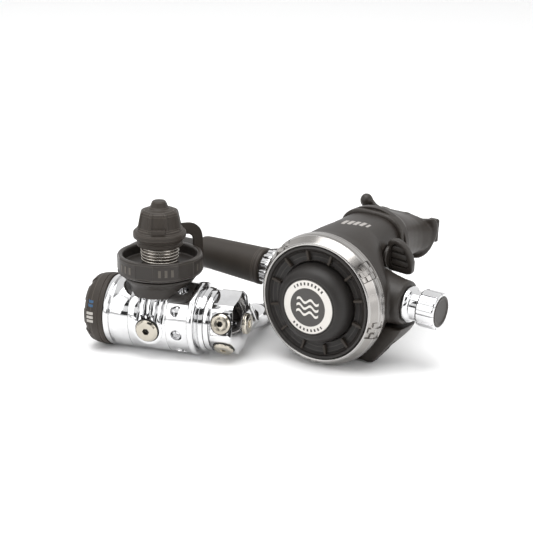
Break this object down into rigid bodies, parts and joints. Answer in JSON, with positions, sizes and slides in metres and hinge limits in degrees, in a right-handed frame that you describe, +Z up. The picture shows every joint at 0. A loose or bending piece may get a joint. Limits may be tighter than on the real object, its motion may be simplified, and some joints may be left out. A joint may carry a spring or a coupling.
{
  "type": "scuba regulator set",
  "caption": "First stage with a screw-in tank connector and swivel turret, joined by a hose to a second stage with purge cover, mouthpiece and adjusting knob.",
  "frame": {"origin": "middle of the footprint, without the hose, on the surface that the set lies on", "axes": "+Z up, +X from the first stage towards the second stage, +Y away from the purge cover"},
  "size_m": [0.2122, 0.2188, 0.0904],
  "materials": {
    "chrome_first": "polished chrome on brass",
    "chrome_small": "polished chrome",
    "ring_metal": "satin chrome with polished edges",
    "plug_nickel": "nickel plate with a warm tint",
    "connector_metal": "dark plated thread",
    "brass_inner": "bare brass",
    "steel_inner": "spring steel",
    "barrel_metal": "plain metal",
    "seal_rubber": "moulded seal rubber",
    "cap_rubber": "matt moulded rubber",
    "connector_plastic": "fine matt texture",
    "hose_rubber": "smooth hose rubber",
    "case_plastic": "fine moulded texture",
    "cover_rubber": "matt moulded rubber",
    "emblem_plate": null,
    "badge_plastic": "smooth insert",
    "inner_plastic": "inner moulding",
    "silicone_dark": "soft silicone",
    "tie_plastic": "nylon tie"
  },
  "bodies": {
    "first_stage": {"first_body": "chrome_first", "spring_housing": "chrome_first", "end_cap": "cap_rubber", "pressure_adjuster": "brass_inner", "main_spring": "steel_inner", "first_diaphragm": "seal_rubber", "seat_crown": "brass_inner", "poppet_spring": "steel_inner", "poppet_plug": "brass_inner", "high_port_plugs": "plug_nickel", "high_port_orings": "seal_rubber", "din_collar": "connector_plastic", "cap_strap": "cap_rubber", "turret_bolt": "plug_nickel", "turret_oring": "seal_rubber", "hose": "hose_rubber", "hose_sleeve": "cap_rubber", "hose_outlet_ferrule": "chrome_small", "hose_nut": "chrome_small", "swivel_oring": "seal_rubber"},
    "first_valve": {"spring_pad": "brass_inner", "push_pin": "steel_inner", "main_poppet": "steel_inner"},
    "connector": {"din_stud": "connector_metal", "din_oring": "seal_rubber", "inlet_filter": "brass_inner", "filter_clip": "steel_inner", "din_wheel": "connector_plastic"},
    "protective_cap": {"din_cap": "cap_rubber"},
    "turret_body": {"turret": "chrome_first", "low_port_plugs": "plug_nickel", "low_port_orings": "seal_rubber", "hose_inlet_fitting": "chrome_small", "hose_inlet_ferrule": "chrome_small"},
    "second_stage": {"case": "case_plastic", "front_ring": "ring_metal", "purge_cover": "cover_rubber", "diaphragm": "silicone_dark", "valve_barrel": "barrel_metal", "barrel_ring": "chrome_small", "valve_seat": "brass_inner", "mouthpiece": "silicone_dark", "mouthpiece_tie": "tie_plastic", "exhaust_tee": "cover_rubber", "exhaust_valve": "silicone_dark", "button_spring": "steel_inner", "demand_spring": "steel_inner"},
    "purge": {"purge_button": "cover_rubber", "emblem": "emblem_plate"},
    "diaphragm_plate": {"diaphragm_disc": "steel_inner"},
    "lever": {"demand_lever": "steel_inner"},
    "poppet": {"demand_poppet": "inner_plastic"},
    "knob": {"adjust_knob": "chrome_small", "knob_badge": "badge_plastic"},
    "spring_screw": {"adjust_screw": "barrel_metal"},
    "venturi": {"venturi_lever": "case_plastic", "venturi_vane": "inner_plastic"}
  },
  "joints": [
    {"name": "first_valve_lift", "type": "slide", "parent": "first_stage", "child": "first_valve", "axis": [0.9455, -0.3256, 0], "range_m": [0, 0.0004], "stiffness_N_per_m": 300, "deforming": ["main_spring", "first_diaphragm", "poppet_spring"]},
    {"name": "connector_turn", "type": "hinge", "parent": "first_stage", "child": "connector", "pos_m": [-0.0609, -0.0105, 0.0515], "axis": [0, 0, 1], "continuous": true},
    {"name": "cap_lift", "type": "slide", "parent": "first_stage", "child": "protective_cap", "axis": [0, 0, 1], "range_m": [0, 0.018], "deforming": ["cap_strap"]},
    {"name": "turret_swivel", "type": "hinge", "parent": "first_stage", "child": "turret_body", "pos_m": [-0.02308, -0.02352, 0.0215], "axis": [0.9455, -0.3256, 0], "range_deg": [0, 8], "deforming": ["hose"]},
    {"name": "second_stage_swivel", "type": "hinge", "parent": "first_stage", "child": "second_stage", "pos_m": [0.00667, 0.00707, 0.04305], "axis": [0.8448, -0.532, -0.0576], "range_deg": [-10, 15]},
    {"name": "purge_press", "type": "slide", "parent": "second_stage", "child": "purge", "axis": [0.5332, 0.846, 0.007], "range_m": [0, 0.003], "stiffness_N_per_m": 400, "deforming": ["button_spring", "purge_cover"]},
    {"name": "diaphragm_push", "type": "slide", "parent": "second_stage", "child": "diaphragm_plate", "axis": [0.5332, 0.846, 0.007], "range_m": [0, 0.003], "deforming": ["diaphragm"]},
    {"name": "lever_pivot", "type": "hinge", "parent": "second_stage", "child": "lever", "pos_m": [0.04451, -0.02763, 0.04007], "axis": [0.045, -0.0366, 0.9983], "range_deg": [-8.5, 0]},
    {"name": "poppet_slide", "type": "slide", "parent": "second_stage", "child": "poppet", "axis": [0.8448, -0.532, -0.0576], "range_m": [0, 0.0009], "deforming": ["demand_spring"]},
    {"name": "knob_turn", "type": "hinge", "parent": "second_stage", "child": "knob", "pos_m": [0.09115, -0.04613, 0.0373], "axis": [0.8448, -0.532, -0.0576], "range_deg": [-360, 360]},
    {"name": "spring_screw_travel", "type": "slide", "parent": "second_stage", "child": "spring_screw", "axis": [0.8448, -0.532, -0.0576], "range_m": [-0.001, 0.001]},
    {"name": "venturi_turn", "type": "hinge", "parent": "second_stage", "child": "venturi", "pos_m": [0.06936, -0.01543, 0.05914], "axis": [0.8448, -0.532, -0.0576], "range_deg": [0, 40]}
  ],
  "couplings": [
    {"joint": "diaphragm_push", "follows": "purge_press", "ratio": 1},
    {"joint": "lever_pivot", "follows": "purge_press", "rad_per_m": -47.7},
    {"joint": "poppet_slide", "follows": "purge_press", "ratio": 0.3},
    {"joint": "spring_screw_travel", "follows": "knob_turn", "m_per_rad": 0.0001592}
  ]
}
